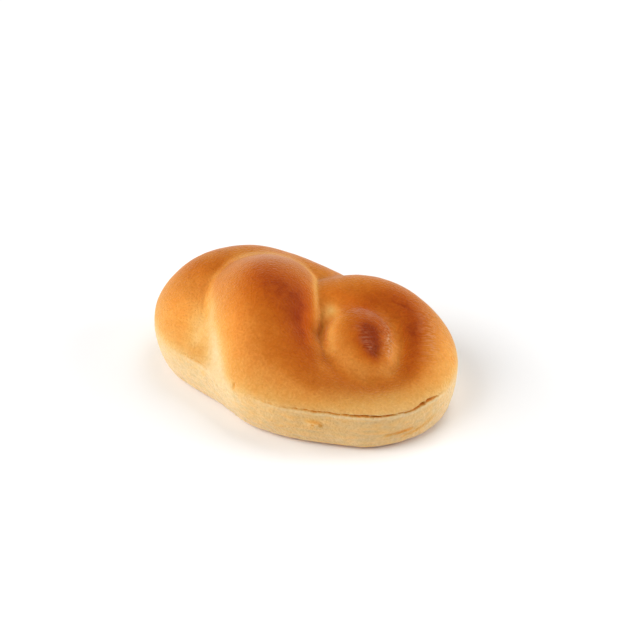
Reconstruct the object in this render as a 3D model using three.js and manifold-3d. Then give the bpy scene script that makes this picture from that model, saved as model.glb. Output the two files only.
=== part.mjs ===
// A plain knotted bread roll, as one solid, in millimetres, +Z up.
//
// The roll is one rope of dough tied in a knot and baked. Its first length lies
// over the top from the back left to the front, runs on round the right end and
// dives under itself at the back. Its second length comes out at the front,
// goes round the left end and along the back, and its end comes up as a low
// knob inside the right loop. The rope is taken as a row of spheroids strung
// along a curve and run together. Rays are sent out from a disc inside the
// roll, each is followed to where it leaves the last spheroid, and a closed
// grid is pulled out to those points. The valleys between the lengths are
// rounded, a split runs low along the side, and the bottom is cut flat.

import * as THREE from 'three';
import { mergeVertices } from 'three/addons/utils/BufferGeometryUtils.js';
import Module from 'manifold-3d';

// Driving dimensions, in millimetres and degrees.

// The two loops. Their crests run round ellipses, each tilted up towards one
// side, and the rope is a little thicker on one side than on the other. Bearings
// are measured from +X, and a loop is drawn between two of them.
const RIGHT_LOOP = {
  x: 23.5, y: 2, radiusX: 21.5, radiusY: 20,
  crest: 28, tilt: 8, highest: 130,
  half: 13.5, swell: 1.4, thickest: 155,
  from: -80, to: 150, steps: 8,
};
const LEFT_LOOP = {
  x: -18.5, y: 3.5, radiusX: 23, radiusY: 17,
  crest: 29, tilt: 6.5, highest: 115,
  half: 14.5, swell: 2.1, thickest: -160,
  from: -100, to: -270, steps: 5,
};

// The rope off the loops: the crest's place in plan, half the width of the rope
// there, and the crest's height.
const HEAD = { x: -19.5, y: 7.5, half: 23.5, crest: 38.5 };    // tucked into the left loop
const SUMMIT = { x: -12.5, y: 0, half: 23, crest: 44.5 };      // top of the crossing
const FALL = { x: -8.5, y: -10, half: 20, crest: 38.5 };
const TURN = { x: 5, y: -17.5, half: 19, crest: 27.5 };        // into the right loop
const DIVE = { x: -1.5, y: 11.5, half: 11, crest: 33 };        // out of it, under the crossing
const RISE = { x: -2.5, y: -16.5, half: 16, crest: 18 };       // from under it, at the front
const PASS = { x: -3, y: 21.5, half: 12, crest: 33 };          // behind the crossing
const SINK = { x: 10.5, y: 24.5, half: 9, crest: 28 };         // under the right loop
const KNOB = [
  { x: 15, y: 8.5, half: 12, crest: 31.5 },
  { x: 21.5, y: 3.5, half: 15, crest: 33 },
  { x: 25.5, y: -2.5, half: 14, crest: 29.5 },
];
const SPHEROIDS_PER_STATION = 12;

const WIDEST_HEIGHT = 16;        // height of the roll's widest level
const SUNK = 9;                  // how far the rope would reach below its flat bottom
const BOTTOM_ROUNDING = 2.2;     // how far the lowest edge draws in
const BOTTOM_ROUNDING_TOP = 3;   // height at which it starts to

// Softness of the valleys. The one beside the left loop is wide at the front and
// narrows over a few stations of that loop. The sharp groove between the
// crossing and the knob widens into the valley inside the right loop.
const FRONT_VALLEY_ROUNDING = 6;
const BACK_VALLEY_ROUNDING = 2.6;
const VALLEY_NARROWS_FROM = 1.2;
const VALLEY_NARROWS_TO = 3;
const KNOB_GROOVE_ROUNDING = 2.2;
const KNOB_VALLEY_ROUNDING = 4.5;
const GROOVE_WIDENS_FROM = 2.6;
const GROOVE_WIDENS_TO = 5;

// The split in the crust, low on the side: which way the side faces where it
// starts and ends, from +X, and how deep it opens.
const SPLITS = [
  { from: -112, to: -101, depth: 0.4 },
  { from: -87, to: -55, depth: 0.9 },
  { from: -61, to: -14, depth: 1.3 },
];
const SPLIT_HEIGHT = 16.7;
const SPLIT_GAPE = 0.6;          // half the height of its mouth
const SPLIT_STEP = 0.3;          // how far the wall under it stands back
const SPLIT_STEP_FADE = 6;       // height over which that runs out
const SPLIT_ENDS = 5;            // degrees of turn over which each end closes

// The disc the rays start from, under the crests of the outer strands.
const DISC = { x: 1, y: 1.5, z: 18, halfLength: 41, halfWidth: 18.5 };

// The grid: cells across its top, rows round its shoulder, and the heights of
// the rows down its side, close together at the split.
const CELLS_ACROSS = 40;
const SHOULDER_ROWS = 11;
const SIDE_HEIGHTS = [DISC.z, 17.3, 16.7, 16.1, 15.2, 13.4, 10.9, 8.1, 5.3, 2.8, 0.8, -2];
const ROWS = SHOULDER_ROWS + SIDE_HEIGHTS.length - 1;

const { lerp, smoothstep } = THREE.MathUtils;

// The stations round a loop.
function around(loop) {
  const stations = [];
  for (let i = 0; i <= loop.steps; i += 1) {
    const bearing = lerp(loop.from, loop.to, i / loop.steps);
    const angle = THREE.MathUtils.degToRad(bearing);
    const rise = Math.cos(THREE.MathUtils.degToRad(bearing - loop.highest));
    const growth = Math.cos(THREE.MathUtils.degToRad(bearing - loop.thickest));
    stations.push({
      x: loop.x + loop.radiusX * Math.cos(angle),
      y: loop.y + loop.radiusY * Math.sin(angle),
      half: loop.half + loop.swell * growth,
      crest: loop.crest + loop.tilt * rise,
    });
  }
  return stations;
}

// One length of the rope: its spheroids, from the curve through its stations.
function rope(stations) {
  const places = stations.map((s) => new THREE.Vector3(s.x, s.y, s.crest));
  const halves = stations.map((s, i) => new THREE.Vector3(s.half, i, 0));
  const crestLine = new THREE.CatmullRomCurve3(places, false, 'catmullrom', 0.5);
  const halfLine = new THREE.CatmullRomCurve3(halves, false, 'catmullrom', 0.5);
  const steps = (stations.length - 1) * SPHEROIDS_PER_STATION;
  const row = [];
  for (let i = 0; i <= steps; i += 1) {
    const crest = crestLine.getPoint(i / steps);
    const half = halfLine.getPoint(i / steps).x;
    row.push({ x: crest.x, y: crest.y, half, rise: crest.z - WIDEST_HEIGHT });
  }
  return row;
}

// The farthest point at which a ray leaves a spheroid of the row, and how many
// stations along the row that spheroid is. Above the widest level a spheroid
// is as tall as its crest, below it all are equally deep.
function leave(row, foot, direction) {
  const above = foot.z > WIDEST_HEIGHT;
  const farthest = { distance: 0, station: 0 };
  row.forEach((s, i) => {
    const rise = above ? s.rise : WIDEST_HEIGHT + SUNK;
    const fx = (foot.x - s.x) / s.half;
    const fy = (foot.y - s.y) / s.half;
    const fz = (foot.z - WIDEST_HEIGHT) / rise;
    const dx = direction.x / s.half;
    const dy = direction.y / s.half;
    const dz = direction.z / rise;
    const a = dx * dx + dy * dy + dz * dz;
    const b = fx * dx + fy * dy + fz * dz;
    const c = fx * fx + fy * fy + fz * fz - 1;
    const distance = (Math.sqrt(b * b - a * c) - b) / a;
    if (distance > farthest.distance) {
      farthest.distance = distance;
      farthest.station = i / SPHEROIDS_PER_STATION;
    }
  });
  return farthest;
}

function smoothMax(a, b, rounding) {
  const overlap = Math.max(rounding - Math.abs(a - b), 0) / rounding;
  return Math.max(a, b) + (overlap * overlap * rounding) / 4;
}

const firstLength = rope([HEAD, SUMMIT, FALL, TURN, ...around(RIGHT_LOOP), DIVE]);
const secondLength = rope([RISE, ...around(LEFT_LOOP), PASS, SINK]);
const knob = rope(KNOB);

function reach(foot, direction) {
  const first = leave(firstLength, foot, direction);
  const second = leave(secondLength, foot, direction);
  const end = leave(knob, foot, direction);
  const narrow = smoothstep(second.station, VALLEY_NARROWS_FROM, VALLEY_NARROWS_TO);
  const valley = lerp(FRONT_VALLEY_ROUNDING, BACK_VALLEY_ROUNDING, narrow);
  const knot = smoothMax(first.distance, second.distance, valley);
  const wide = smoothstep(first.station, GROOVE_WIDENS_FROM, GROOVE_WIDENS_TO);
  const groove = lerp(KNOB_GROOVE_ROUNDING, KNOB_VALLEY_ROUNDING, wide);
  return smoothMax(knot, end.distance, groove);
}

// How far the side moves in for the split, at a height and where it faces.
function splitDepth(height, facing) {
  let depth = 0;
  for (const split of SPLITS) {
    const opens = smoothstep(facing, split.from, split.from + SPLIT_ENDS);
    const closes = 1 - smoothstep(facing, split.to - SPLIT_ENDS, split.to);
    const below = SPLIT_HEIGHT - height;
    const mouth = Math.max(1 - Math.abs(below) / SPLIT_GAPE, 0) * split.depth;
    const step = below > 0 ? SPLIT_STEP * (1 - smoothstep(below, 0, SPLIT_STEP_FADE)) : 0;
    depth += opens * closes * Math.max(mouth, step);
  }
  return depth;
}

// The point of the roll that a point of a box's skin is pulled to. The box's
// top goes over the disc by upright rays, the first rows of its sides go over
// the shoulder by rays that lean out from the disc's rim, and the lower rows
// down the side by level rays.
function pull(u, v, w) {
  const acrossX = u * Math.sqrt(1 - (v * v) / 2);
  const acrossY = v * Math.sqrt(1 - (u * u) / 2);
  const foot = new THREE.Vector3(
    DISC.x + DISC.halfLength * acrossX, DISC.y + DISC.halfWidth * acrossY, DISC.z);
  const out = new THREE.Vector3(acrossX / DISC.halfLength, acrossY / DISC.halfWidth, 0).normalize();
  const row = ((1 - w) / 2) * ROWS;
  if (row < 1e-6) {
    const up = new THREE.Vector3(0, 0, 1);
    return foot.addScaledVector(up, reach(foot, up));
  }
  if (row > ROWS - 1e-6 && Math.max(Math.abs(u), Math.abs(v)) < 1 - 1e-6) {
    return foot.setZ(SIDE_HEIGHTS.at(-1));
  }
  if (row < SHOULDER_ROWS - 1e-6) {
    const lean = (row / SHOULDER_ROWS) * (Math.PI / 2);
    const ray = out.clone().multiplyScalar(Math.sin(lean)).setZ(Math.cos(lean));
    return foot.addScaledVector(ray, reach(foot, ray));
  }
  const below = Math.min(Math.floor(row - SHOULDER_ROWS + 1e-6), SIDE_HEIGHTS.length - 2);
  foot.z = lerp(
    SIDE_HEIGHTS[below], SIDE_HEIGHTS[below + 1], row - SHOULDER_ROWS - below);
  const facing = THREE.MathUtils.radToDeg(Math.atan2(out.y, out.x));
  const lowest = THREE.MathUtils.clamp(1 - foot.z / BOTTOM_ROUNDING_TOP, 0, 1);
  const drawnIn = BOTTOM_ROUNDING * lowest * lowest + splitDepth(foot.z, facing);
  return foot.addScaledVector(out, reach(foot, out) - drawnIn);
}

const box = new THREE.BoxGeometry(2, 2, 2, CELLS_ACROSS, CELLS_ACROSS, ROWS);
box.deleteAttribute('normal');
box.deleteAttribute('uv');
const skin = mergeVertices(box, 1e-5);
const onBox = skin.attributes.position.clone();
const onRoll = skin.attributes.position;
for (let i = 0; i < onBox.count; i += 1) {
  const p = pull(onBox.getX(i), onBox.getY(i), onBox.getZ(i));
  onRoll.setXYZ(i, p.x, p.y, p.z);
}

// Each cell is two triangles. They fold along whichever diagonal passes nearer
// to the roll at the cell's middle, so that valleys stay clean.
const corner = (attribute, i) => new THREE.Vector3().fromBufferAttribute(attribute, i);
const index = skin.index;
for (let i = 0; i < index.count; i += 6) {
  const [a, b, d, c] = [index.getX(i), index.getX(i + 1), index.getX(i + 2), index.getX(i + 4)];
  const middle = corner(onBox, a).add(corner(onBox, c)).multiplyScalar(0.5);
  const target = pull(middle.x, middle.y, middle.z);
  const alongAC = corner(onRoll, a).add(corner(onRoll, c)).multiplyScalar(0.5);
  const alongBD = corner(onRoll, b).add(corner(onRoll, d)).multiplyScalar(0.5);
  if (alongAC.distanceTo(target) < alongBD.distanceTo(target)) {
    [a, b, c, a, c, d].forEach((vertex, k) => index.setX(i + k, vertex));
  }
}

// The bottom is cut flat by a block under the roll.
const wasm = await Module();
wasm.setup();

function solid(geometry) {
  return new wasm.Manifold(new wasm.Mesh({
    numProp: 3,
    vertProperties: new Float32Array(geometry.attributes.position.array),
    triVerts: new Uint32Array(geometry.index.array),
  }));
}

const block = new THREE.BoxGeometry(200, 200, 10);
block.translate(0, 0, -5);
block.deleteAttribute('normal');
block.deleteAttribute('uv');
const cut = solid(skin).subtract(solid(mergeVertices(block, 1e-5))).getMesh();

const rollGeometry = new THREE.BufferGeometry();
rollGeometry.setAttribute('position', new THREE.Float32BufferAttribute(cut.vertProperties, 3));
rollGeometry.setIndex(new THREE.Uint32BufferAttribute(cut.triVerts, 1));

// The origin is under the middle of the roll, on its flat bottom.
rollGeometry.computeBoundingBox();
const centre = rollGeometry.boundingBox.getCenter(new THREE.Vector3());
rollGeometry.translate(-centre.x, -centre.y, 0);
rollGeometry.computeVertexNormals();

const crust = new THREE.MeshStandardMaterial({ color: 0xd08a48, roughness: 0.5, metalness: 0 });
const roll = new THREE.Mesh(rollGeometry, crust);
roll.name = 'roll';

const group = new THREE.Group();
group.add(roll);

export default group;
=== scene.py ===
# %% [markdown]
# # A knotted bread roll
#
# The roll is one rope of soft white dough, tied in a knot, brushed with egg and baked. Its crown
# is brown and a little glossy, the creases between the strands stay pale, and low on the side the
# crust has split where the dough kept rising. The lesson builds it in that order: the light and
# the camera, the shape of the knot, the small relief of the crust, the browning, and the finish.
#
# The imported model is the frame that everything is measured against. It is in metres, while a
# baker and this lesson think in millimetres, so lengths are written in millimetres and turned
# into metres once, when the mesh is made.

import math

import bmesh
import bpy
import numpy as np
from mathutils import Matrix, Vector, noise


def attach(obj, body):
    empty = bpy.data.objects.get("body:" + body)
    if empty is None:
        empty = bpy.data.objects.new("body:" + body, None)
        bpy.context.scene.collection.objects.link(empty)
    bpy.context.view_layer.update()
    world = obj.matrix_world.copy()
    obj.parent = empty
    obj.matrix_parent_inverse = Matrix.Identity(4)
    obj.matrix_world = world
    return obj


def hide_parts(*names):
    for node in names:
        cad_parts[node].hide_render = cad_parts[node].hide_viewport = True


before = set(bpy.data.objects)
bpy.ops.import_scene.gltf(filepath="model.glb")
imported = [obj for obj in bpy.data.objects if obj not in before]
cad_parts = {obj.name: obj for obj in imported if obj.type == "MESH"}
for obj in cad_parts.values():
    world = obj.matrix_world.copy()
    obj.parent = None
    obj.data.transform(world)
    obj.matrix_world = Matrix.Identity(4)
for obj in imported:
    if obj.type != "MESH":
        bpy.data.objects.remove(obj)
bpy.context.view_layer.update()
MM = 0.001

# %% [markdown]
# ## The camera
#
# The roll is seen from well above, over its front right, with a long lens, so that the far end is
# hardly smaller than the near one. The camera is placed by its aim, its distance and two angles,
# which are easier to read and to change than a place and a rotation. The lens is given in pixels
# of a square image and turned into millimetres on the sensor.

# %% Camera
AIM = Vector((4.36, 7.62, 23.0))
AZIMUTH = math.radians(29)
ELEVATION = math.radians(36)
DISTANCE = 650
IMAGE_WIDTH = 640
FOCAL_PIXELS = 1839.5

back = Vector((
    math.sin(AZIMUTH) * math.cos(ELEVATION),
    -math.cos(AZIMUTH) * math.cos(ELEVATION),
    math.sin(ELEVATION),
))
camera_data = bpy.data.cameras.new("camera")
camera_data.sensor_width = 36
camera_data.lens = FOCAL_PIXELS / IMAGE_WIDTH * camera_data.sensor_width
camera_data.clip_start = 0.01
camera = bpy.data.objects.new("camera", camera_data)
camera.location = (AIM + back * DISTANCE) * MM
camera.rotation_mode = "QUATERNION"
camera.rotation_quaternion = (-back).to_track_quat("-Z", "Y")
bpy.context.scene.collection.objects.link(camera)
bpy.context.scene.camera = camera

print("lens, mm:", round(camera_data.lens, 2))

# %% [markdown]
# ## The light
#
# Plain studio light: soft boxes low on the left and the right, one in front on the left and one
# high at the back, in a room with pale walls and a dark ceiling. Big lights near a small object
# give the broad, soft highlights that a brushed crust shows, where a small lamp would put a hard
# white dot on each bump. The dark ceiling keeps the crown's browns deep, and the pale walls put
# the thin sheen on the edges that turn away.
#
# The standard view transform is used, so that a colour set in a material comes out as that colour
# in white light, without the filmic curve that pulls bright browns towards grey.

# %% Lights and world
LIGHT_AIM = Vector((0, 0, 20))
RIGHTWARD = Vector((math.cos(AZIMUTH), math.sin(AZIMUTH), 0))
TOWARDS_CAMERA = Vector((math.sin(AZIMUTH), -math.cos(AZIMUTH), 0))
UPWARD = Vector((0, 0, 1))


def soft_box(name, right, near, up, size, watts):
    data = bpy.data.lights.new(name, "AREA")
    data.shape = "SQUARE"
    data.size = size * MM
    data.energy = watts
    light = bpy.data.objects.new(name, data)
    place = LIGHT_AIM + RIGHTWARD * right + TOWARDS_CAMERA * near + UPWARD * up
    light.location = place * MM
    light.rotation_mode = "QUATERNION"
    light.rotation_quaternion = (place - LIGHT_AIM).to_track_quat("Z", "Y")
    bpy.context.scene.collection.objects.link(light)


soft_box("left_box", right=-1316, near=0, up=479, size=900, watts=12)
soft_box("right_box", right=1316, near=0, up=479, size=900, watts=14)
soft_box("front_left_box", right=-811, near=568, up=990, size=900, watts=13)
soft_box("back_right_box", right=418, near=-418, up=1269, size=900, watts=8.5)

# the world is a pale wall low down and dark overhead
WALL_LIGHT = 1.2
WALL_FADES = (0.1, 0.4)

world = bpy.data.worlds.new("studio")
world.use_nodes = True
sky = world.node_tree.nodes
sky_links = world.node_tree.links
direction = sky.new("ShaderNodeTexCoord")
height_in_sky = sky.new("ShaderNodeSeparateXYZ")
wall = sky.new("ShaderNodeMapRange")
wall.inputs["From Min"].default_value = WALL_FADES[0]
wall.inputs["From Max"].default_value = WALL_FADES[1]
wall.inputs["To Min"].default_value = WALL_LIGHT
wall.inputs["To Max"].default_value = 0
sky_links.new(direction.outputs["Generated"], height_in_sky.inputs["Vector"])
sky_links.new(height_in_sky.outputs["Z"], wall.inputs["Value"])
sky_links.new(wall.outputs["Result"], sky["Background"].inputs["Strength"])
sky["Background"].inputs["Color"].default_value = (1, 1, 1, 1)
bpy.context.scene.world = world
bpy.context.scene.view_settings.view_transform = "Standard"

# %% [markdown]
# ## The floor
#
# A plain pale floor catches the roll's soft shadow, which is what seats it on the ground. It is a
# single square, far larger than the view, and it isn't part of the roll.

# %% Floor
FLOOR_SIDE = 6000
FLOOR_COLOUR = (0.9, 0.9, 0.9, 1)
FLOOR_ROUGHNESS = 0.8

floor_mesh = bmesh.new()
bmesh.ops.create_grid(floor_mesh, x_segments=1, y_segments=1, size=FLOOR_SIDE / 2 * MM)
floor_data = bpy.data.meshes.new("floor")
floor_mesh.to_mesh(floor_data)
floor_mesh.free()
floor = bpy.data.objects.new("floor", floor_data)
bpy.context.scene.collection.objects.link(floor)

floor_paint = bpy.data.materials.new("floor_paint")
floor_paint.use_nodes = True
floor_shader = floor_paint.node_tree.nodes["Principled BSDF"]
floor_shader.inputs["Base Color"].default_value = FLOOR_COLOUR
floor_shader.inputs["Roughness"].default_value = FLOOR_ROUGHNESS
floor_data.materials.append(floor_paint)

# %% [markdown]
# ## The knot
#
# The roll is shaped as it was rolled and tied: as lengths of rope. The first length lies over the
# top, from the back left to the front, then runs on round the right end and dives under itself.
# The second comes out at the front, goes round the left end and along the back. Its end comes up
# inside the right loop as a knob.
#
# A metaball or a sculpted lump could make such a form too, but neither can be told how wide and
# how high the rope is at each place. Here a few stations carry those numbers, and a smooth curve
# runs through them. The two loops are ellipses, each tilted up towards one side.

# %% Stations of the rope
RIGHT_LOOP = {
    "x": 23.5, "y": 2, "radius_x": 21.5, "radius_y": 20,
    "crest": 28, "tilt": 8, "highest": 130,
    "half": 13.5, "swell": 1.4, "thickest": 155,
    "start": -80, "end": 150, "steps": 8,
}
LEFT_LOOP = {
    "x": -18.5, "y": 3.5, "radius_x": 23, "radius_y": 17,
    "crest": 29, "tilt": 6.5, "highest": 115,
    "half": 14.5, "swell": 2.1, "thickest": -160,
    "start": -100, "end": -270, "steps": 5,
}

# x, y, half the rope's width, height of its crest
HEAD = (-19.5, 7.5, 23.5, 38.5)
SUMMIT = (-12.5, 0, 23, 44.5)
FALL = (-8.5, -10, 20, 38.5)
TURN = (5, -17.5, 19, 27.5)
DIVE = (-1.5, 11.5, 11, 33)
RISE = (-2.5, -16.5, 16, 18)
PASS = (-3, 21.5, 12, 33)
SINK = (10.5, 24.5, 9, 28)
KNOB = [(15, 8.5, 12, 31.5), (21.5, 3.5, 15, 33), (25.5, -2.5, 14, 29.5)]


def around(loop):
    bearing = np.radians(np.linspace(loop["start"], loop["end"], loop["steps"] + 1))
    rise = loop["tilt"] * np.cos(bearing - math.radians(loop["highest"]))
    growth = loop["swell"] * np.cos(bearing - math.radians(loop["thickest"]))
    return np.column_stack([
        loop["x"] + loop["radius_x"] * np.cos(bearing),
        loop["y"] + loop["radius_y"] * np.sin(bearing),
        loop["half"] + growth,
        loop["crest"] + rise,
    ])


def smooth_curve(stations, steps):
    values = np.array(stations, float)
    ends = np.vstack([2 * values[0] - values[1], values, 2 * values[-1] - values[-2]])
    along = np.linspace(0, len(values) - 1, (len(values) - 1) * steps + 1)
    first = np.minimum(along.astype(int), len(values) - 2)
    t = (along - first)[:, None]
    a, b, c, d = ends[first], ends[first + 1], ends[first + 2], ends[first + 3]
    return b + 0.5 * t * (c - a + t * (2 * a - 5 * b + 4 * c - d + t * (3 * b - 3 * c + d - a)))


STEPS_PER_STATION = 36
first_length = smooth_curve(
    [HEAD, SUMMIT, FALL, TURN, *around(RIGHT_LOOP), DIVE], STEPS_PER_STATION)
second_length = smooth_curve([RISE, *around(LEFT_LOOP), PASS, SINK], STEPS_PER_STATION)
knob = smooth_curve(KNOB, STEPS_PER_STATION)

print("steps along the rope:", len(first_length), len(second_length), len(knob))

# %% [markdown]
# ## A box to pull into shape
#
# A box with a fine grid on it has clean rows of square faces all round and no pole on the top, so
# it is a good blank for a loaf. Its edges are cut one direction at a time, as a loop cut does.
# The bottom face is left out, because the roll's flat bottom is closed later.

# %% The blank
CELLS_LONG = 160
CELLS_WIDE = 90
SHOULDER_ROWS = 76
SIDE_ROWS = (0, 20, 44, 54)
SIDE_HEIGHTS = (18, 14, 3, 0)
TINY = 1e-6

blank = bmesh.new()
bmesh.ops.create_cube(blank, size=2)
underside = [face for face in blank.faces if face.normal.z < -0.5]
bmesh.ops.delete(blank, geom=underside, context="FACES_ONLY")

all_rows = SHOULDER_ROWS + SIDE_ROWS[-1]
for axis, cells in enumerate((CELLS_LONG, CELLS_WIDE, all_rows)):
    lines = [
        edge for edge in blank.edges
        if abs((edge.verts[1].co - edge.verts[0].co)[axis]) > TINY
    ]
    bmesh.ops.subdivide_edges(blank, edges=lines, cuts=cells - 1)

print("faces on the blank:", len(blank.faces))

# %% [markdown]
# ## Where a ray leaves the dough
#
# Each step along the rope is a spheroid as wide as the rope, as tall as its crest above the
# roll's widest level, and equally deep below that level. A ray that starts inside the roll leaves
# the dough where it leaves the last spheroid. That is one quadratic equation for each spheroid,
# worked out for all rays at once.

# %% Rays
WIDEST = 16
SUNK = 9


def leave(length, foot, ray):
    farthest = np.zeros(len(foot))
    station = np.zeros(len(foot))
    above = foot[:, 2] > WIDEST
    for i, (x, y, half, crest) in enumerate(length):
        size = np.column_stack([
            np.full(len(foot), half),
            np.full(len(foot), half),
            np.where(above, crest - WIDEST, WIDEST + SUNK),
        ])
        start = (foot - (x, y, WIDEST)) / size
        step = ray / size
        a = (step * step).sum(1)
        b = (start * step).sum(1)
        c = (start * start).sum(1) - 1
        inside = b * b - a * c
        distance = (np.sqrt(np.maximum(inside, 0)) - b) / a
        better = (inside > 0) & (distance > farthest)
        farthest[better] = distance[better]
        station[better] = i / STEPS_PER_STATION
    return farthest, station


def smooth_step(x, low, high):
    t = np.clip((x - low) / (high - low), 0, 1)
    return t * t * (3 - 2 * t)


def smooth_max(a, b, rounding):
    overlap = np.maximum(rounding - np.abs(a - b), 0) / rounding
    return np.maximum(a, b) + overlap * overlap * rounding / 4


# %% [markdown]
# ## Pulling the blank out to the dough
#
# The rays start from a disc inside the roll. Over the disc they go straight up, round its rim
# they lean out more and more, and down the side they are level. So every vertex of the blank has
# its own ray, neighbours stay neighbours, and the valleys where two lengths meet come out by
# themselves.

# %% Feet and directions of the rays
DISC_X, DISC_Y = 1, 1.5
DISC_HALF_LENGTH, DISC_HALF_WIDTH = 41, 18.5

on_blank = np.array([vert.co[:] for vert in blank.verts])
u, v = on_blank[:, 0], on_blank[:, 1]
across = np.column_stack([u * np.sqrt(1 - v * v / 2), v * np.sqrt(1 - u * u / 2)])
row = (1 - on_blank[:, 2]) / 2 * all_rows
down_side = row > SHOULDER_ROWS - TINY

foot = np.column_stack([
    DISC_X + DISC_HALF_LENGTH * across[:, 0],
    DISC_Y + DISC_HALF_WIDTH * across[:, 1],
    np.interp(row - SHOULDER_ROWS, SIDE_ROWS, SIDE_HEIGHTS),
])
outward = across / (DISC_HALF_LENGTH, DISC_HALF_WIDTH)
outward /= np.maximum(np.linalg.norm(outward, axis=1), TINY)[:, None]
lean = np.clip(row / SHOULDER_ROWS, 0, 1) * math.pi / 2
ray = np.column_stack([outward * np.sin(lean)[:, None], np.cos(lean)])
ray[down_side, 2] = 0
facing = np.degrees(np.arctan2(outward[:, 1], outward[:, 0]))

print("rays:", len(foot), " of them down the side:", int(down_side.sum()))

# %% [markdown]
# ## Valleys between the strands
#
# Where two lengths of dough meet, their skins press together and leave a valley. Taking the
# farther of the two reaches would give a knife-sharp one, so the two are blended where they are
# nearly equal. The valley is wide at the front, where the crossing length flattens out, and narrow
# at the back. The groove round the knob is narrow on its left and widens towards the front.

# %% Reach of the dough along each ray
FRONT_VALLEY_ROUNDING = 6
BACK_VALLEY_ROUNDING = 2.6
VALLEY_NARROWS = (1.2, 3)
KNOB_GROOVE_ROUNDING = 2.2
KNOB_VALLEY_ROUNDING = 4.5
GROOVE_WIDENS = (2.6, 5)


def blend(a, b, share):
    return a + (b - a) * share


first_reach, first_station = leave(first_length, foot, ray)
second_reach, second_station = leave(second_length, foot, ray)
knob_reach, _ = leave(knob, foot, ray)
narrow = smooth_step(second_station, *VALLEY_NARROWS)
valley = blend(FRONT_VALLEY_ROUNDING, BACK_VALLEY_ROUNDING, narrow)
knot_reach = smooth_max(first_reach, second_reach, valley)
wide = smooth_step(first_station, *GROOVE_WIDENS)
groove = blend(KNOB_GROOVE_ROUNDING, KNOB_VALLEY_ROUNDING, wide)
reach = smooth_max(knot_reach, knob_reach, groove)

print("longest ray, mm:", round(float(reach.max()), 2))

# %% [markdown]
# ## The split low on the side
#
# The top crust sets first in the oven, and the dough below goes on rising until it tears the
# crust along the side. What is left is a thin ragged line with the crust lifted over it and
# paler, rougher dough below. It is modelled as a small step in from the line down, with a narrow
# mouth at the line. The line wanders a little in height, and it is open only over certain
# directions round the roll. The lowest three millimetres of the side are drawn in, as the edge of
# a roll is where it lifts off the tray.

# %% Split and lower edge
# which way the side faces, in degrees from +X; height of the line; half its gape; its depth
SPLIT = np.array([
    (-116, 17.4, 0.3, 0), (-111, 17.4, 0.35, 0.4), (-104, 17.2, 0.35, 0.4), (-99, 17.1, 0.3, 0),
    (-92, 17.4, 0.3, 0), (-88, 17.4, 0.3, 0.4), (-78, 17, 0.3, 0.6), (-68, 16.7, 0.35, 0.8),
    (-62, 16.6, 0.45, 1.2), (-54, 16.5, 0.35, 1.1), (-44, 16.3, 0.35, 1), (-38, 16.3, 0.5, 1.3),
    (-30, 16.9, 0.75, 1.6), (-22, 17.1, 0.65, 1.4), (-16, 17, 0.4, 0.8), (-8, 16.7, 0.3, 0.4),
    (0, 16.5, 0.3, 0),
])
SPLIT_WANDER = 0.3
WANDER_DEGREES = 2.6
WANDER_NOISE = (5, 0.7)
RAG_DEGREES = 0.9
RAG_NOISE = (9, 0.7)
TORN_NOISE = (2, 0.3)
LIP_BELOW = 0.25
LIP_DEPTH = 0.9
STEP_BELOW = 0.3
STEP_FADES = 6
BOTTOM_ROUNDING = 2.2
BOTTOM_ROUNDING_TOP = 3


def along_split(column):
    return np.interp(facing, SPLIT[:, 0], SPLIT[:, column])


def noise_round_the_roll(degrees, place):
    return np.array([noise.noise((angle / degrees, *place)) for angle in facing])


wander = noise_round_the_roll(WANDER_DEGREES, WANDER_NOISE)
wander += noise_round_the_roll(RAG_DEGREES, RAG_NOISE) / 2
torn = 1 + noise_round_the_roll(RAG_DEGREES, TORN_NOISE)
height = foot[:, 2]
below_line = along_split(1) + SPLIT_WANDER * wander - height
open_here = np.minimum(along_split(3), 1)
mouth = torn * along_split(3) * np.clip(1 - np.abs(below_line) / along_split(2), 0, 1)
lip = LIP_BELOW * np.exp(-((below_line - LIP_DEPTH) / LIP_DEPTH) ** 2)
step = STEP_BELOW * (1 - smooth_step(below_line, 0, STEP_FADES))
side_moves_in = np.maximum(mouth, np.where(below_line > 0, open_here * (step - lip), 0))

lowest = np.clip(1 - height / BOTTOM_ROUNDING_TOP, 0, 1)
drawn_in = np.where(down_side, BOTTOM_ROUNDING * lowest * lowest + side_moves_in, 0)
dough = foot + ray * (reach - drawn_in)[:, None]
split_depth = np.where(down_side, mouth, 0)

print("deepest part of the split, mm:", round(float(split_depth.max()), 2))

# %% [markdown]
# ## Onto the mesh
#
# The vertices go to their places, moved so that the dough's middle is over the model's origin.
# The normals are kept, because the small relief that follows is raised and sunk along them.

# %% Shape the blank
middle = (dough.min(0) + dough.max(0)) / 2
dough[:, :2] -= middle[:2]
for vert, place in zip(blank.verts, dough):
    vert.co = place
blank.normal_update()
normals = np.array([vert.normal[:] for vert in blank.verts])

print("box of the dough, mm:", np.round(dough.max(0) - dough.min(0), 2))

# %% [markdown]
# ## Brush strokes
#
# Both the small relief and the browning are put on as a painter or a sculptor would, with
# strokes. A stroke is a smooth line through a few stations, each with a place, a radius and a
# strength, and it fades with distance in space. The same helper serves both: for relief the
# strength is in millimetres, for browning it is a share of the whole scale. Where two parts of
# one stroke overlap, the stronger counts, so a stroke has no dark knots at its stations.

# %% Brush
STROKE_STEPS = 12


def brush(stations):
    line = smooth_curve(stations, STROKE_STEPS) if len(stations) > 1 else np.array(stations)
    strongest = np.zeros(len(dough))
    for x, y, z, radius, strength in line:
        far = ((dough - (x, y, z)) ** 2).sum(1) / radius ** 2
        here = strength * np.exp(-far)
        strongest = np.where(np.abs(here) > np.abs(strongest), here, strongest)
    return strongest


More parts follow.
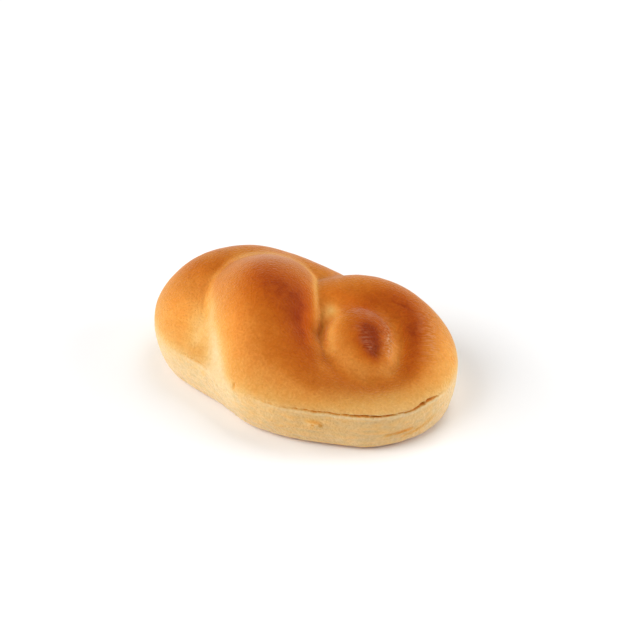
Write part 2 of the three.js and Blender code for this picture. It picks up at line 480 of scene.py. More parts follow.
# %% [markdown]
# ## Uneven dough
#
# Real dough is never quite even. The whole surface swells and sinks by a quarter of a millimetre,
# short wrinkles cross the knob and the loop beside it, the side is marked with level streaks where
# the dough stretched, and the skin just below the split is ragged. A displacement texture would
# put the same unevenness everywhere. Here it is a noise worked out at the vertices, so each kind
# keeps to its own part of the roll. For the wrinkles and streaks the noise is stretched sideways.

# %% Uneven dough
SWELLS = 0.25
HIGHEST_SWELL = 0.5
SWELL_LENGTH = 14
RIPPLES = 0.06
RIPPLE_LENGTH = 3.5
WRINKLES = 0.3
WRINKLE_WIDTH = 1.3
WRINKLE_STRETCH = 2.5
STREAKS = 0.22
STREAK_WIDTH = 1.2
STREAK_STRETCH = 5
STREAKS_FADE = (14, 17)
RAGGED = 0.25
RAG_LENGTH = 0.8
LEDGE_BELOW = 0.9
LEDGE_WIDTH = 0.6

# x, y, z, radius, strength
WRINKLED = [(22, 5, 32.5, 5, 0.6), (27, 1, 31.5, 6, 1), (33, -3, 27.5, 5, 1)]
KNOB_SIDE_WRINKLED = [(31, 11.5, 28.5, 3, 0.8), (35.1, 7.2, 25.4, 3, 1), (37, -1.8, 24.2, 3, 1)]
GROOVE_WRINKLED = [(10, 4, 31, 3, 0.8), (12, -3, 27, 2, 0.4), (15, -9.5, 24.8, 3, 0.8)]
LOOP_WRINKLED = [(38, 21.5, 30, 3, 0.4), (43.9, 15, 27.7, 3, 0.6), (48.6, 8.7, 25, 3, 0.4)]


def unevenness(width, seed, stretch=1):
    along = dough @ np.array(RIGHTWARD) / stretch
    across = dough @ np.array(TOWARDS_CAMERA)
    return np.array([
        noise.noise(Vector(place) / width + Vector((seed, 0, 0)))
        for place in np.column_stack([along, across, dough[:, 2]])
    ])


relief = SWELLS * (unevenness(SWELL_LENGTH, seed=3) - HIGHEST_SWELL)
relief += RIPPLES * unevenness(RIPPLE_LENGTH, seed=11)

wrinkled = np.zeros(len(dough))
for stroke in (WRINKLED, KNOB_SIDE_WRINKLED, GROOVE_WRINKLED, LOOP_WRINKLED):
    wrinkled = np.maximum(wrinkled, brush(stroke))
relief += WRINKLES * wrinkled * unevenness(WRINKLE_WIDTH, seed=23, stretch=WRINKLE_STRETCH)

low_down = 1 - smooth_step(dough[:, 2], *STREAKS_FADE)
streaks = unevenness(STREAK_WIDTH, seed=37, stretch=STREAK_STRETCH) * low_down
relief += STREAKS * streaks

ledge = open_here * np.exp(-((below_line - LEDGE_BELOW) / LEDGE_WIDTH) ** 2) * down_side
relief += RAGGED * ledge * unevenness(RAG_LENGTH, seed=41)

print("unevenness, lowest and highest, mm:", np.round((relief.min(), relief.max()), 2))

# %% [markdown]
# ## Small marks in the dough
#
# The knob's top is puckered where the end of the rope was pushed in, with a pit and a bead. Its
# right side is lumpy, and a thin line runs round it where it meets the dough beside it. A flake of
# crust and two folds sit low on the side, a nick below the crossing, and a hairline runs along the
# back of the right loop. Each is a stroke with its height or depth in millimetres, where a
# sculptor would use a clay or a crease brush.
#
# The lowest row goes back to the floor afterwards, so that the roll stands flat.

# %% Marks in the dough
# x, y, z, radius, relief
KNOB_PIT = [(33.3, -4.3, 27, 1.6, -0.55)]
KNOB_BEAD = [(30.2, -5, 29.2, 1.3, 0.4)]
KNOB_DIP = [(28.5, 0.5, 31, 3, -0.4)]
KNOB_LUMPS = [
    (30.8, 7, 28.6, 1.6, 0.35), (33, 4.5, 27.2, 1.6, 0.5), (35, 0.8, 26, 1.6, 0.5),
    (36.3, -2.5, 24.8, 1.5, 0.35), (35.5, -6, 24, 1.6, 0.2),
]
KNOB_EDGE = [
    (27.2, 14, 30.3, 0.9, -0.15), (33.4, 12.9, 28.8, 1, -0.3), (36, 9.4, 26.4, 1, -0.4),
    (37.6, 6.4, 24.6, 1, -0.45), (39.4, 1.5, 22.9, 1, -0.4), (39.7, -3.2, 21.8, 1, -0.3),
    (38.8, -8, 20.9, 1, -0.1),
]
KNOB_LEFT_EDGE = [
    (14.2, 3.1, 31.3, 0.9, -0.15), (11.2, 1.2, 28.9, 0.9, -0.3), (10.9, -1.7, 26.7, 0.9, -0.3),
    (12.9, -6.4, 24.9, 0.9, -0.25), (17.4, -11.5, 24.3, 0.9, -0.15),
]
FLAKE = [
    (21.3, -32.7, 11.4, 0.9, 0.4), (23.5, -32.1, 11.7, 1.1, 0.65), (25.5, -31.4, 11.3, 0.8, 0.4),
]
FLAKE_PITS = [(23.6, -32.1, 11.3, 0.5, -0.6), (26.1, -31.2, 11.1, 0.6, -0.4)]
LOW_FOLD = [(46, -21, 7.5, 0.5, -0.15), (49.5, -17, 7.8, 0.5, -0.35), (52, -14, 8.2, 0.5, -0.2)]
LOWER_FOLD = [
    (50, -16, 5.2, 0.6, -0.1), (53.5, -10, 6.8, 0.6, -0.25), (55.3, -5.5, 9, 0.6, -0.15),
]
NICK = [(-6.2, -33.8, 18.6, 0.6, -0.5), (-6.4, -33.9, 16.6, 0.6, -0.6)]
HAIRLINE = [
    (28.4, 17.9, 32.5, 0.5, -0.12), (32.3, 18.5, 31.8, 0.5, -0.2), (36.3, 18.4, 30.7, 0.5, -0.1),
]

for lump in KNOB_LUMPS + FLAKE_PITS:
    relief += brush([lump])
for stroke in (
    KNOB_PIT, KNOB_BEAD, KNOB_DIP, KNOB_EDGE, KNOB_LEFT_EDGE, FLAKE, LOW_FOLD, LOWER_FOLD, NICK,
    HAIRLINE,
):
    relief += brush(stroke)

surface = dough + normals * relief[:, None]
surface[row > all_rows - TINY, 2] = 0
for vert, place in zip(blank.verts, surface):
    vert.co = place

print("relief, lowest and highest, mm:", np.round((relief.min(), relief.max()), 2))

# %% [markdown]
# ## Browning
#
# How brown the crust is decides its colour, from cream where the dough never dried to dark
# reddish brown where the egg wash caught. One number for each vertex holds it, from 0 to 1, and
# the material turns it into a colour later. A texture image could hold it too, but numbers on
# the vertices need no unwrapping and follow the shape.
#
# The oven's own rule comes first: the higher the crust, the browner. Then come the broad strokes,
# dark along the crown and the right loop and on the knob, and a little paler on the knob's sides.
# On the knob's right edge the paler crust is partly painted light, and the darker valley beyond
# it is partly painted shade.

# %% Broad browning
BROWNING_HEIGHTS = (12, 16, 18, 20, 24, 30, 36, 44)
BROWNING_BY_HEIGHT = (0.02, 0.1, 0.22, 0.34, 0.43, 0.53, 0.56, 0.6)

# x, y, z, radius, strength
CROWN = [
    (-14, -2, 44, 7, 0.2), (-8, -5, 43, 9.5, 0.32), (0, -6, 40, 10.5, 0.35),
    (5, -9, 34, 10, 0.34), (9, -15, 30, 9.5, 0.28), (13, -21, 26.5, 8, 0.27),
    (20, -23, 24, 6.5, 0.27), (27, -20, 22.5, 5.5, 0.24), (35, -16, 21, 4.5, 0.22),
    (42, -9, 21, 4.5, 0.26), (44.5, -3.5, 22, 5.5, 0.32), (44, 1.5, 23.6, 5.5, 0.36),
    (41.5, 7, 25.6, 5.5, 0.38), (39, 12, 27.9, 5.5, 0.42), (36.5, 16, 30, 6, 0.38),
    (32, 18.8, 31.9, 6.5, 0.34), (27, 18.5, 33, 6.5, 0.33), (22, 16, 33, 6.5, 0.28),
    (17.5, 12.6, 33.2, 6, 0.21), (12, 10.5, 34.3, 5.5, 0.14), (7, 8.5, 34.8, 4, 0.1),
]
CROWN_RIGHT = [
    (1, 0, 38.8, 3.5, 0.05), (3, -3.5, 37.5, 3.5, 0.07), (5, -7.3, 34.5, 3.5, 0.07),
    (7.5, -11, 31, 3.5, 0.09), (12, -15, 27.5, 3, 0.1), (17, -19, 25, 3, 0.08),
]
CROWN_LOW = [(-2, -19, 35.5, 5, 0.04), (2, -24, 30, 5, 0.06)]
CROWN_LEFT = [(-26, -8, 37, 5, -0.05), (-20, -17, 33.5, 5, -0.09), (-13, -25, 30, 5, -0.06)]
KNOB_TOP = [(22, 6, 32.3, 7, 0.18), (26, 1, 31.5, 7.5, 0.28), (30, -3, 29.5, 6.5, 0.3)]
KNOB_CORE = [
    (28.4, 0.8, 31.3, 4.5, 0.25), (30.3, -2.6, 29.8, 4.5, 0.3), (32.6, -5.5, 27.6, 4, 0.3),
    (33.6, -7.5, 26.2, 2.5, 0.22),
]
KNOB_FOOT = [
    (11, -3, 26, 2.5, 0.08), (14, -8, 24.8, 2.5, 0.16), (19, -13, 23.8, 3, 0.2),
    (25, -16, 22.5, 3, 0.14), (32, -16, 20.8, 3, 0.08), (38, -11, 20.6, 3, 0.1),
]
KNOB_LEFT = [(14.5, 2, 31, 3, -0.14), (15, -4, 28.5, 3.5, -0.22), (17, -8.5, 26, 3.5, -0.18)]
# the knob's right edge: paler crust, partly painted light
KNOB_RIGHT_PALE_AND_PAINTED_LIGHT = [(36, 5, 25, 2.5, -0.06), (37.5, 0, 24, 2.5, -0.08)]
KNOB_BACK = [(24, 9.5, 31.5, 3, 0.05), (29, 9, 29.8, 3, 0.14), (31.5, 6, 28.5, 3, 0.14)]
# browner crust with painted shade in the valley beyond the knob's right edge
VALLEY_BROWNING_AND_SHADE = [
    (30.5, 14, 30, 3, 0.08), (38, 11, 27.5, 3.5, 0.05), (41.5, 4.5, 24.8, 4, 0.05),
    (43.5, -2, 22.5, 4, 0.08),
]
LEFT_TOP = [(-44, 3, 31.5, 6, 0.1), (-37, 7, 34, 5, 0.16)]

browning = np.interp(dough[:, 2], BROWNING_HEIGHTS, BROWNING_BY_HEIGHT)
for stroke in (
    CROWN, CROWN_RIGHT, CROWN_LOW, CROWN_LEFT, KNOB_TOP, KNOB_CORE, KNOB_FOOT, KNOB_LEFT,
    KNOB_RIGHT_PALE_AND_PAINTED_LIGHT, KNOB_BACK, VALLEY_BROWNING_AND_SHADE, LEFT_TOP,
):
    browning += brush(stroke)

print("broad browning, middle and highest:", np.round(np.quantile(browning, (0.5, 1)), 2))

# %% [markdown]
# ## Pale creases
#
# Two strands that touch shade each other from the oven's heat and keep each other moist, so the
# creases stay pale. They are negative strokes along the valleys. The widest is at the front left,
# where the crease opens downwards, and the narrowest follow the crown's top and right edge.

# %% Pale creases
# x, y, z, radius, strength
CREASE = [
    (-34.8, -1.5, 31, 2.2, -0.05), (-31, -6.8, 29.5, 3, -0.18), (-27.2, -10.7, 29, 3.4, -0.32),
    (-24.2, -14.8, 27.8, 3.8, -0.45), (-19.5, -21.5, 25, 4.4, -0.5),
    (-15.8, -26.5, 20.7, 5, -0.42), (-11.5, -31, 16, 4.5, -0.22),
]
CREASE_LEFT = [(-36, -9, 28.5, 3, -0.05), (-32, -15, 26, 3.5, -0.2), (-28, -21, 22.5, 3.5, -0.24)]
TOP_CREASE = [
    (-35.5, 2, 32, 1.5, -0.15), (-33, 11, 35, 1.4, -0.18), (-26, 17.5, 36, 1.4, -0.2),
    (-17, 21, 36, 1.4, -0.2), (-9, 20, 35.5, 1.5, -0.2), (-3.5, 17, 34.5, 1.6, -0.15),
]
CROWN_FOOT = [
    (-3, 16, 34.2, 1.6, -0.2), (1.6, 9, 36, 1.6, -0.25), (4.5, 4.5, 35.2, 1.6, -0.28),
    (6.5, 1.2, 33.4, 1.7, -0.25), (8, -1, 31.2, 1.7, -0.22), (9.2, -3, 28.8, 1.6, -0.15),
    (11, -5, 26.6, 1.6, -0.15), (14, -9.5, 25.6, 1.6, -0.08),
]
GROOVE_TOP = [(10.4, 4.2, 31.5, 2.6, -0.32), (9, 1.5, 30, 2.2, -0.15)]

for stroke in (CREASE, CREASE_LEFT, TOP_CREASE, CROWN_FOOT, GROOVE_TOP):
    browning += brush(stroke)

print("with the creases, lowest:", round(float(browning.min()), 2))

# %% [markdown]
# ## Browning, painted light and painted shade of the marks
#
# The mouth of the split is browner and also darkened as painted shade, and so are the flake's
# pits. The folds, the flake's edge and the nick are browner than the dough round them. The front of
# the side is a little browner than the rest. The lit ledge just below the split is painted paler,
# as painted light, and the foot is brown where it touched the hot tray, with painted shade along
# its edge.

# %% Browning, painted light and painted shade of the marks
SPLIT_BROWNING_AND_SHADE = 0.5
TORN_DEPTHS = (0.2, 0.9)
LEDGE_PAINTED_LIGHT = 0.2
STREAK_MARKS = 0.07
FOOT_BROWNING_AND_SHADE = 0.55
FOOT_BROWNING_AND_SHADE_HEIGHT = 0.9

# x, y, z, radius, strength
FRONT_BAND = [
    (2, -35, 9, 6, 0.08), (20, -33, 10, 6, 0.13), (35, -28, 10, 6, 0.1), (48, -20, 9, 6, 0.1),
    (55, -8, 9, 6, 0.08),
]
LOW_MARK = [(46, -21, 7.5, 0.7, 0.2), (49.5, -17, 7.8, 0.7, 0.5), (52, -14, 8.2, 0.6, 0.3)]
LOWER_MARK = [(50, -16, 5.2, 1, 0.15), (53.5, -10, 6.8, 1, 0.28), (55.3, -5.5, 9, 0.9, 0.16)]
# the flake's edge is browner; the last station is painted shade in its second pit
FLAKE_MARK = [
    (21.5, -32.6, 12.6, 0.6, 0.15), (23.6, -32, 12.9, 0.6, 0.25), (25.6, -31.4, 12.3, 0.6, 0.22),
    (26.1, -31.2, 11.1, 0.7, 0.35),
]
# painted shade in the flake's first pit
PIT_PAINTED_SHADE = [(23.6, -32.1, 11.3, 0.5, 0.35)]
NICK_MARK = [(-6.2, -33.8, 18.6, 0.7, 0.15), (-6.4, -33.9, 16.6, 0.7, 0.25)]
HAIRLINE_MARK = [
    (28.4, 17.9, 32.5, 0.5, 0.06), (32.3, 18.5, 31.8, 0.5, 0.1), (36.3, 18.4, 30.7, 0.5, 0.05),
]

for stroke in (
    FRONT_BAND, LOW_MARK, LOWER_MARK, FLAKE_MARK, PIT_PAINTED_SHADE, NICK_MARK, HAIRLINE_MARK,
):
    browning += brush(stroke)
# the split's mouth: browner crust and painted shade
browning += SPLIT_BROWNING_AND_SHADE * smooth_step(split_depth, *TORN_DEPTHS)
# painted light on the lit ledge just below the split
browning -= LEDGE_PAINTED_LIGHT * ledge
browning += STREAK_MARKS * streaks
# the foot: brown from the tray, and painted shade along the edge
browning += FOOT_BROWNING_AND_SHADE * np.exp(-np.maximum(dough[:, 2], 0) / FOOT_BROWNING_AND_SHADE_HEIGHT)
browning = np.clip(browning, 0, 1)

browning_layer = blank.verts.layers.float.new("browning")
for vert, value in zip(blank.verts, browning):
    vert[browning_layer] = float(value)

print("browning, lowest, middle, highest:", np.round(np.quantile(browning, (0, 0.5, 1)), 2))

# %% [markdown]
# ## Painted light and shade
#
# A second number for each vertex is a factor on the colour, and most of it is painted light and
# shade. Painted light lifts the crust where a strand lies in its neighbour's shade or turns away
# from the lamps: the left loop, the crown's left face and its foot by the knob, the knob's sides,
# the gap behind the crown, the right end and the top of the flake. Painted shade darkens the groove
# beside the knob, the front rim, the knob's dip and pit, and the back of the loops and the crown's
# top.

# %% Painted light and shade
EVEN_LIGHTNESS = 1.05
STREAK_LIGHTNESS = 0.16

# x, y, z, radius, strength
# painted light: lighter crust where shade falls or a side turns from the lamps, and on lit edges
PAINTED_LIGHT_LEFT = [(-43, -10, 25.5, 6, 0.15), (-38, -14.5, 26, 7, 0.3), (-31, -20, 23.5, 6, 0.2)]
PAINTED_LIGHT_LEFT_LOOP = [
    (-41, 2, 31.5, 4, 0.12), (-36.5, -4.5, 29.5, 4, 0.16), (-32.5, -11, 27, 3.5, 0.12),
]
PAINTED_LIGHT_CROWN = [
    (-14, -8, 42.5, 6, 0.06), (-14, -14, 39, 6, 0.1), (-13, -21, 33, 7, 0.18),
    (-6, -28, 22, 7, 0.1),
]
PAINTED_LIGHT_FOOT = [
    (0, 5, 37, 3.5, 0.1), (3.8, -2.5, 36, 4, 0.22), (6.5, -6, 32.5, 4, 0.35),
    (9.5, -10, 28.5, 3.5, 0.25),
]
PAINTED_LIGHT_LOOP = [(6, 8.5, 34.7, 3, 0.12), (13, 9.5, 33.7, 3.5, 0.22), (20, 11.5, 32.8, 3, 0.15)]
PAINTED_LIGHT_KNOB_LEFT = [(13, 3, 31, 4, 0.25), (14.5, -2, 28.5, 4, 0.35), (16, -7, 26, 4, 0.25)]
PAINTED_LIGHT_GAP = [(-4, 17.5, 33.5, 2, 0.22), (0, 13, 34, 3, 0.15), (6, 12, 34, 4, 0.1)]
PAINTED_LIGHT_KNOB_RIGHT = [
    (33, 9.5, 27, 2.5, 0.15), (36.7, 3.3, 24.2, 2.5, 0.2), (37, -2, 24, 2.5, 0.15),
]
PAINTED_LIGHT_RIGHT = [(46, 18, 26.4, 5, 0.1), (52, 12, 22, 6, 0.22), (55, 1, 18.5, 6, 0.15)]
PAINTED_LIGHT_FLAKE = [(21.8, -32.6, 11.6, 0.8, 0.12), (24.8, -31.7, 11.8, 0.8, 0.16)]
# painted shade: darker crust in the groove, on the front rim, in the knob's dip and pit, and on top
PAINTED_SHADE_GAP = [(7.8, 4, 31.6, 0.8, -0.1), (9, 1.4, 29.2, 0.8, -0.1), (10.4, -1, 27.6, 0.8, -0.05)]
PAINTED_SHADE_FRONT = [
    (17, -24, 24, 6, -0.06), (24, -24, 22, 6, -0.14), (32, -21, 20.5, 6, -0.18),
    (42, -13, 20, 6, -0.18), (45, -6, 21.5, 5, -0.14),
]
PAINTED_SHADE_KNOB = [(28, 1.5, 31.5, 3, -0.04), (33.8, -4.6, 27, 2, -0.16)]
PAINTED_SHADE_TOP = [
    (-46, 6, 30, 6, -0.08), (-38, 14, 34, 7, -0.1), (-28, 19, 36, 6, -0.08),
    (-14, 6, 43.8, 6, -0.08),
]

lightness = np.full(len(dough), EVEN_LIGHTNESS)
for stroke in (
    PAINTED_LIGHT_LEFT, PAINTED_LIGHT_LEFT_LOOP, PAINTED_LIGHT_CROWN, PAINTED_LIGHT_FOOT, PAINTED_LIGHT_LOOP, PAINTED_LIGHT_KNOB_LEFT, PAINTED_LIGHT_GAP,
    PAINTED_LIGHT_KNOB_RIGHT, PAINTED_LIGHT_RIGHT, PAINTED_LIGHT_FLAKE, PAINTED_SHADE_GAP, PAINTED_SHADE_FRONT, PAINTED_SHADE_KNOB, PAINTED_SHADE_TOP,
):
    lightness += brush(stroke)
lightness += STREAK_LIGHTNESS * streaks

# the lightness attribute carries the painted light and shade, and the side's level streaks
lightness_layer = blank.verts.layers.float.new("lightness")
for vert, value in zip(blank.verts, lightness):
    vert[lightness_layer] = float(value)

print("lightness, lowest and highest:", round(lightness.min(), 2), round(lightness.max(), 2))

# %% [markdown]
# ## Gloss
#
# The egg wash ran thick in places, and there it dried to a wrinkled skin that shines: on the
# knob's right side and on the loop beside it, and faintly on the crown. A third number says how
# much of that skin there is, and with it where a pinkish painted highlight is mixed into the
# crust's colour.

# %% Gloss
# x, y, z, radius, strength
GLOSS_LOOP = [
    (38, 21.7, 30.1, 3, 0.4), (41.5, 18.5, 28.7, 3, 0.6), (44.5, 14.5, 27.2, 3, 0.7),
    (47, 10.5, 25.8, 3, 0.65), (48.6, 5, 24.2, 3, 0.4),
]
GLOSS_KNOB_RIGHT = [
    (29.5, 9, 29.3, 2, 0.6), (31.5, 6.5, 28.3, 2.4, 1), (34, 3, 26.6, 2.4, 1),
    (36, -1.5, 25, 2, 0.8),
]
GLOSS_KNOB_TOP = [(24, -0.5, 31.8, 2, 0.25), (28, -3, 30.6, 2, 0.3), (30.8, -5, 28.6, 1.6, 0.35)]
GLOSS_KNOB_BACK = [
    (15.4, 5.8, 32.2, 2.5, 0.4), (22.6, 7.5, 32.7, 2.5, 0.5), (26.4, 11.1, 30.1, 2.5, 0.4),
]
GLOSS_CROWN = [(-24, 6, 42, 8, 0.12), (-12, 4, 44, 8, 0.12)]

gloss = sum(brush(stroke) for stroke in (
    GLOSS_LOOP, GLOSS_KNOB_RIGHT, GLOSS_KNOB_TOP, GLOSS_KNOB_BACK, GLOSS_CROWN,
))
gloss = np.minimum(gloss, 1)

gloss_layer = blank.verts.layers.float.new("gloss")
for vert, value in zip(blank.verts, gloss):
    vert[gloss_layer] = float(value)

print("gloss, highest:", round(float(gloss.max()), 2))

# %% [markdown]
# ## The flat bottom
#
# The lowest row of vertices lies on the floor. Filling it closes the roll with one wide face, and
# two insets put rings of faces on it, so that the colour and the shading can change near the
# edge. The bottom, which lay on the tray, is an even light brown. After that the roll is whole, and
# it is turned into metres and shaded smooth.

# %% Close the bottom
BOTTOM_RINGS = (1.5, 6)
BOTTOM_BROWNING = 0.45

rim = [edge for edge in blank.edges if edge.is_boundary]
bmesh.ops.contextual_create(blank, geom=rim)
for width in BOTTOM_RINGS:
    middle_face = [face for face in blank.faces if len(face.verts) > 4]
    bmesh.ops.inset_region(blank, faces=middle_face, thickness=width, use_even_offset=True)
    for vert in middle_face[0].verts:
        vert[browning_layer] = BOTTOM_BROWNING

for vert in blank.verts:
    vert.co *= MM
blank.normal_update()
for face in blank.faces:
    face.smooth = True

print("faces:", len(blank.faces), " open edges:", sum(edge.is_boundary for edge in blank.edges))

# %% [markdown]
# ## The roll as an object
#
# The finished mesh becomes one object at the world's origin, with one material, the crust. It
# is attached to the body called root, and the model's own roll is hidden, as this mesh stands for
# it.

# %% Make the roll
roll_data = bpy.data.meshes.new("knotted_roll")
blank.to_mesh(roll_data)
blank.free()
roll = bpy.data.objects.new("knotted_roll", roll_data)
bpy.context.scene.collection.objects.link(roll)

crust = bpy.data.materials.new("crust")
crust.use_nodes = True
roll_data.materials.append(crust)

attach(roll, "root")
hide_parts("roll")

# %% [markdown]
# ## Crust colours
#
# Baked dough doesn't just get darker. It goes from cream through straw and gold to amber and a
# deep red brown: blue falls off first, then green, and red last. A colour ramp holds those steps.
# It reads the browning that was painted on the vertices, and the painted lightness, which holds
# the painted light and shade, scales what comes out.

# %% Crust colours
# browning, then red, green and blue in linear light
CRUST_COLOURS = (
    (0.00, (0.655, 0.470, 0.243)),
    (0.10, (0.640, 0.410, 0.175)),
    (0.20, (0.622, 0.354, 0.114)),
    (0.30, (0.605, 0.302, 0.074)),
    (0.40, (0.591, 0.254, 0.050)),
    (0.50, (0.556, 0.200, 0.030)),
    (0.60, (0.492, 0.147, 0.014)),
    (0.70, (0.439, 0.110, 0.006)),
    (0.80, (0.388, 0.080, 0.002)),
    (0.90, (0.322, 0.054, 0.001)),
    (1.00, (0.229, 0.028, 0.000)),
)

nodes = crust.node_tree.nodes
links = crust.node_tree.links
shader = nodes["Principled BSDF"]
painted = nodes.new("ShaderNodeAttribute")
painted.attribute_name = "browning"
ramp = nodes.new("ShaderNodeValToRGB")
stops = ramp.color_ramp.elements
while len(stops) < len(CRUST_COLOURS):
    stops.new(0.5)
for stop, (place, colour) in zip(stops, CRUST_COLOURS):
    stop.position = place
    stop.color = (*colour, 1)

# the lightness attribute holds the painted light and shade
lightness_painted = nodes.new("ShaderNodeAttribute")
lightness_painted.attribute_name = "lightness"
lightened = nodes.new("ShaderNodeVectorMath")
lightened.operation = "SCALE"
links.new(ramp.outputs["Color"], lightened.inputs[0])

print("steps of crust colour:", len(stops))

# %% [markdown]
# ## Grain of the crust
#
# Close up, a crust is freckled: tiny blisters brown a little more than the dough between them.
# Two noises, one a few millimetres across and one under a millimetre, are added to the browning
# before it becomes a colour, so a freckle is always a colour that baked dough can have. The fine
# noise also changes the lightness, the other way round, and gives a slight bump. The noises read
# Object coordinates, which are in metres here and stay with the roll when it is moved.

# %% Grain
MOTTLE_PER_METRE = 320
MOTTLE = 0.16
FRECKLES_PER_METRE = 1200
FRECKLES = 0.1
GRAIN_DEPTH = 0.6
GRAIN_LIGHTNESS = -0.3

place_on_roll = nodes.new("ShaderNodeTexCoord")


def grain_noise(per_metre, detail):
    texture = nodes.new("ShaderNodeTexNoise")
    texture.inputs["Scale"].default_value = per_metre
    texture.inputs["Detail"].default_value = detail
    links.new(place_on_roll.outputs["Object"], texture.inputs["Vector"])
    return texture


def add_noise(value, texture, amount):
    centred = nodes.new("ShaderNodeMath")
    centred.operation = "SUBTRACT"
    centred.inputs[1].default_value = 0.5
    links.new(texture.outputs["Fac"], centred.inputs[0])
    total = nodes.new("ShaderNodeMath")
    total.operation = "MULTIPLY_ADD"
    total.inputs[1].default_value = amount
    links.new(centred.outputs["Value"], total.inputs[0])
    links.new(value, total.inputs[2])
    return total.outputs["Value"]


mottle = grain_noise(MOTTLE_PER_METRE, detail=5)
freckles = grain_noise(FRECKLES_PER_METRE, detail=3)
freckled = add_noise(painted.outputs["Fac"], mottle, MOTTLE)
freckled = add_noise(freckled, freckles, FRECKLES)
links.new(freckled, ramp.inputs["Fac"])
grainy_lightness = add_noise(lightness_painted.outputs["Fac"], freckles, GRAIN_LIGHTNESS)
links.new(grainy_lightness, lightened.inputs["Scale"])

bump = nodes.new("ShaderNodeBump")
bump.inputs["Distance"].default_value = GRAIN_DEPTH * MM
links.new(freckles.outputs["Fac"], bump.inputs["Height"])

print("noises, per metre:", MOTTLE_PER_METRE, FRECKLES_PER_METRE)

# %% [markdown]
# ## Fine wrinkles
#
# Where the wash shines, the thin skin is wrinkled in short level lines, finer than the mesh. They
# are a noise stretched sideways: one Mapping node turns the coordinates so that X runs along the
# wrinkles, and the next squeezes X, which draws the noise out. The painted gloss says where the
# wrinkles show, as the strength of their bump.

# %% Fine wrinkles
WRINKLES_PER_METRE = 1500
WRINKLES_SQUEEZED = 0.2
WRINKLE_DEPTH = 0.8

turned = nodes.new("ShaderNodeMapping")
turned.inputs["Rotation"].default_value = (0, 0, -AZIMUTH)
squeezed = nodes.new("ShaderNodeMapping")
squeezed.inputs["Scale"].default_value = (WRINKLES_SQUEEZED, 1, 1)
wrinkles = nodes.new("ShaderNodeTexNoise")
wrinkles.inputs["Scale"].default_value = WRINKLES_PER_METRE
wrinkles.inputs["Detail"].default_value = 2
gloss_painted = nodes.new("ShaderNodeAttribute")
gloss_painted.attribute_name = "gloss"
wrinkle_bump = nodes.new("ShaderNodeBump")
wrinkle_bump.inputs["Distance"].default_value = WRINKLE_DEPTH * MM

links.new(place_on_roll.outputs["Object"], turned.inputs["Vector"])
links.new(turned.outputs["Vector"], squeezed.inputs["Vector"])
links.new(squeezed.outputs["Vector"], wrinkles.inputs["Vector"])
links.new(wrinkles.outputs["Fac"], wrinkle_bump.inputs["Height"])
links.new(gloss_painted.outputs["Fac"], wrinkle_bump.inputs["Strength"])
links.new(bump.outputs["Normal"], wrinkle_bump.inputs["Normal"])
links.new(wrinkle_bump.outputs["Normal"], shader.inputs["Normal"])

print("wrinkles, per metre along them:", WRINKLES_PER_METRE * WRINKLES_SQUEEZED)
print("and across them:", WRINKLES_PER_METRE)

# %% [markdown]
# ## The skin of dried wash and its painted highlight
#
# The dried wash is a thin cloudy skin. Between its wrinkles the brown shows through, and on their
# ridges the skin looks pinkish and glints. So the wrinkle noise is cut to its high parts and
# multiplied by the painted gloss, and the result does two things: it mixes the crust's colour
# towards a pinkish tone, partly the skin's own colour and partly a painted highlight on the
# ridges, and it lays a clear coat over the same places.

# %% The skin of dried wash and its painted highlight
CRACKLE = (0.46, 0.64)
CRACKLE_MOST = 0.55
SKIN_AND_HIGHLIGHT_COLOUR = (0.68, 0.34, 0.17, 1)
COAT_SHARE = 0.5
# a Mix node has a set of sockets for each kind of value, and these are the ones for colours
COLOUR_A, COLOUR_B, COLOUR_RESULT = 6, 7, 2

crackle = nodes.new("ShaderNodeMapRange")
crackle.inputs["From Min"].default_value = CRACKLE[0]
crackle.inputs["From Max"].default_value = CRACKLE[1]
crackle.inputs["To Max"].default_value = CRACKLE_MOST
links.new(wrinkles.outputs["Fac"], crackle.inputs["Value"])

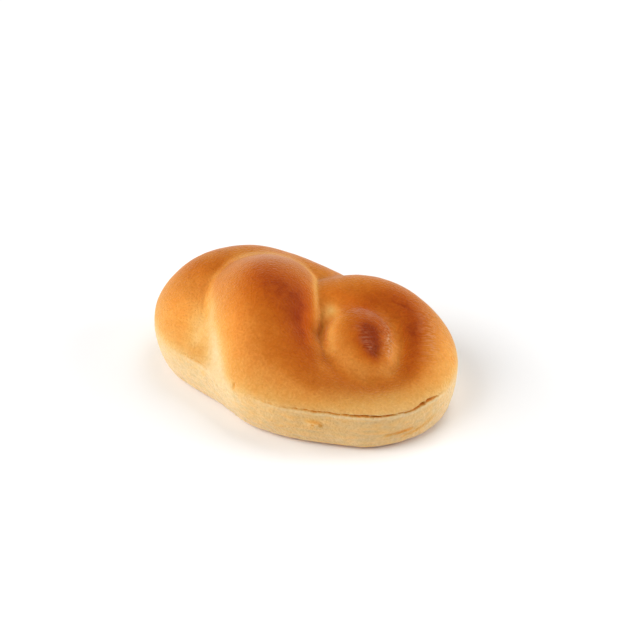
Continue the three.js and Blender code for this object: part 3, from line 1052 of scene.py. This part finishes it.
glints = nodes.new("ShaderNodeMath")
glints.operation = "MULTIPLY"
links.new(crackle.outputs["Result"], glints.inputs[0])
links.new(gloss_painted.outputs["Fac"], glints.inputs[1])

# the pinkish mix on the ridges is partly the skin's colour and partly a painted highlight
skin_and_highlight = nodes.new("ShaderNodeMix")
skin_and_highlight.data_type = "RGBA"
skin_and_highlight.inputs[COLOUR_B].default_value = SKIN_AND_HIGHLIGHT_COLOUR
links.new(glints.outputs["Value"], skin_and_highlight.inputs["Factor"])
links.new(lightened.outputs["Vector"], skin_and_highlight.inputs[COLOUR_A])
links.new(skin_and_highlight.outputs[COLOUR_RESULT], shader.inputs["Base Color"])

thin_coat = nodes.new("ShaderNodeMath")
thin_coat.operation = "MULTIPLY"
thin_coat.inputs[1].default_value = COAT_SHARE
links.new(glints.outputs["Value"], thin_coat.inputs[0])
links.new(thin_coat.outputs["Value"], shader.inputs["Coat Weight"])
shader.inputs["Coat Roughness"].default_value = 0.22

print("the skin hides at most this share of the crust's colour:", CRACKLE_MOST)

# %% [markdown]
# ## Sheen of the crust
#
# Brown crust is smoother than the floury side, so roughness follows the browning. The mirror
# reflection is weak everywhere, because the crust is full of tiny pores, and its fuzz shows as a
# faint light rim where the surface turns away. Light also sinks a millimetre or two into bread and
# comes out again, red farthest, which softens the shade in the creases.

# %% Sheen
PALE_ROUGHNESS = 0.65
BROWN_ROUGHNESS = 0.42
LIGHT_SINKS = 2.5

rough = nodes.new("ShaderNodeMapRange")
rough.inputs["To Min"].default_value = PALE_ROUGHNESS
rough.inputs["To Max"].default_value = BROWN_ROUGHNESS
links.new(painted.outputs["Fac"], rough.inputs["Value"])
links.new(rough.outputs["Result"], shader.inputs["Roughness"])

shader.inputs["Specular IOR Level"].default_value = 0.06
shader.inputs["Sheen Weight"].default_value = 0.2
shader.inputs["Sheen Roughness"].default_value = 0.35
shader.inputs["Subsurface Weight"].default_value = 0.25
shader.inputs["Subsurface Scale"].default_value = LIGHT_SINKS * MM
shader.inputs["Subsurface Radius"].default_value = (1, 0.5, 0.25)

print("roughness of pale and of brown crust:", PALE_ROUGHNESS, BROWN_ROUGHNESS)
